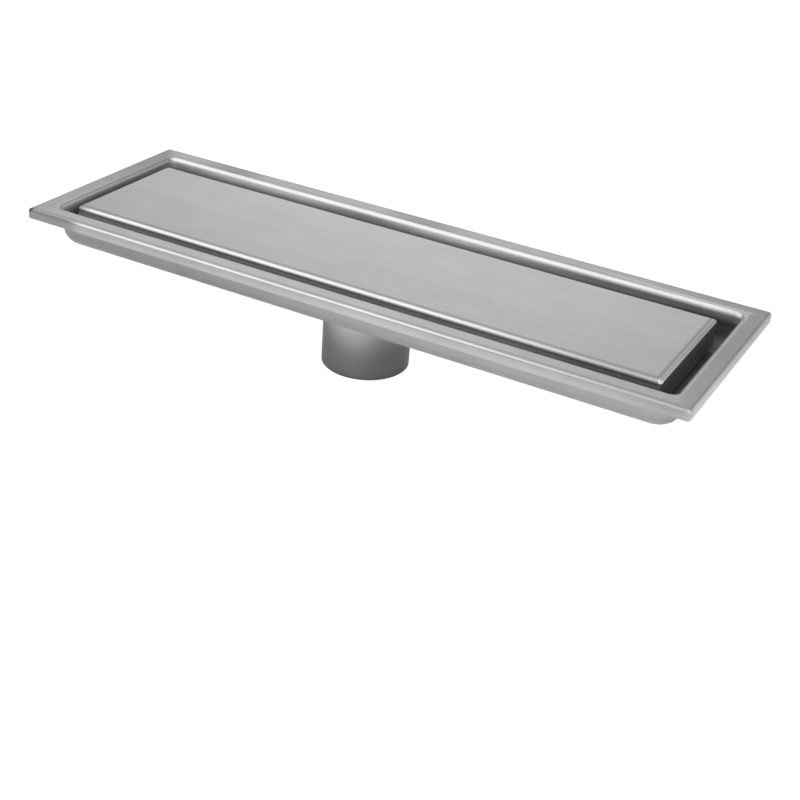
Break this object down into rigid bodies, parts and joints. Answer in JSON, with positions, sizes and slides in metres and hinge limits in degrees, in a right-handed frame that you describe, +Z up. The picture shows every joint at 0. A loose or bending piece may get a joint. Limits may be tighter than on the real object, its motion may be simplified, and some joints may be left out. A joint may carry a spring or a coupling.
{
  "type": "linear shower drain",
  "caption": "Long stainless steel floor drain: a pressed channel with a bedding flange, a loose flat cover with water slots around it, and a round vertical outlet pipe below.",
  "frame": {"origin": "centre of the flange in plan, at the level of the outlet pipe's lower end", "axes": "+X along the drain, +Y across it, +Z up, out of the finished floor"},
  "size_m": [0.3, 0.1, 0.05],
  "materials": {
    "channel_steel": "satin pressed stainless sheet, brushed along the drain",
    "outlet_steel": "satin stainless tube, brushed round",
    "cover_steel": "fine satin stainless sheet, brushed along the drain",
    "strainer_steel": "plain pressed stainless sheet",
    "rest_steel": "turned stainless stud"
  },
  "bodies": {
    "root": {"channel_body": "channel_steel", "outlet_pipe": "outlet_steel", "cover_plate": "cover_steel", "hair_strainer": "strainer_steel", "cover_rest_front_left": "rest_steel", "cover_rest_front_right": "rest_steel", "cover_rest_back_left": "rest_steel", "cover_rest_back_right": "rest_steel"}
  },
  "joints": []
}
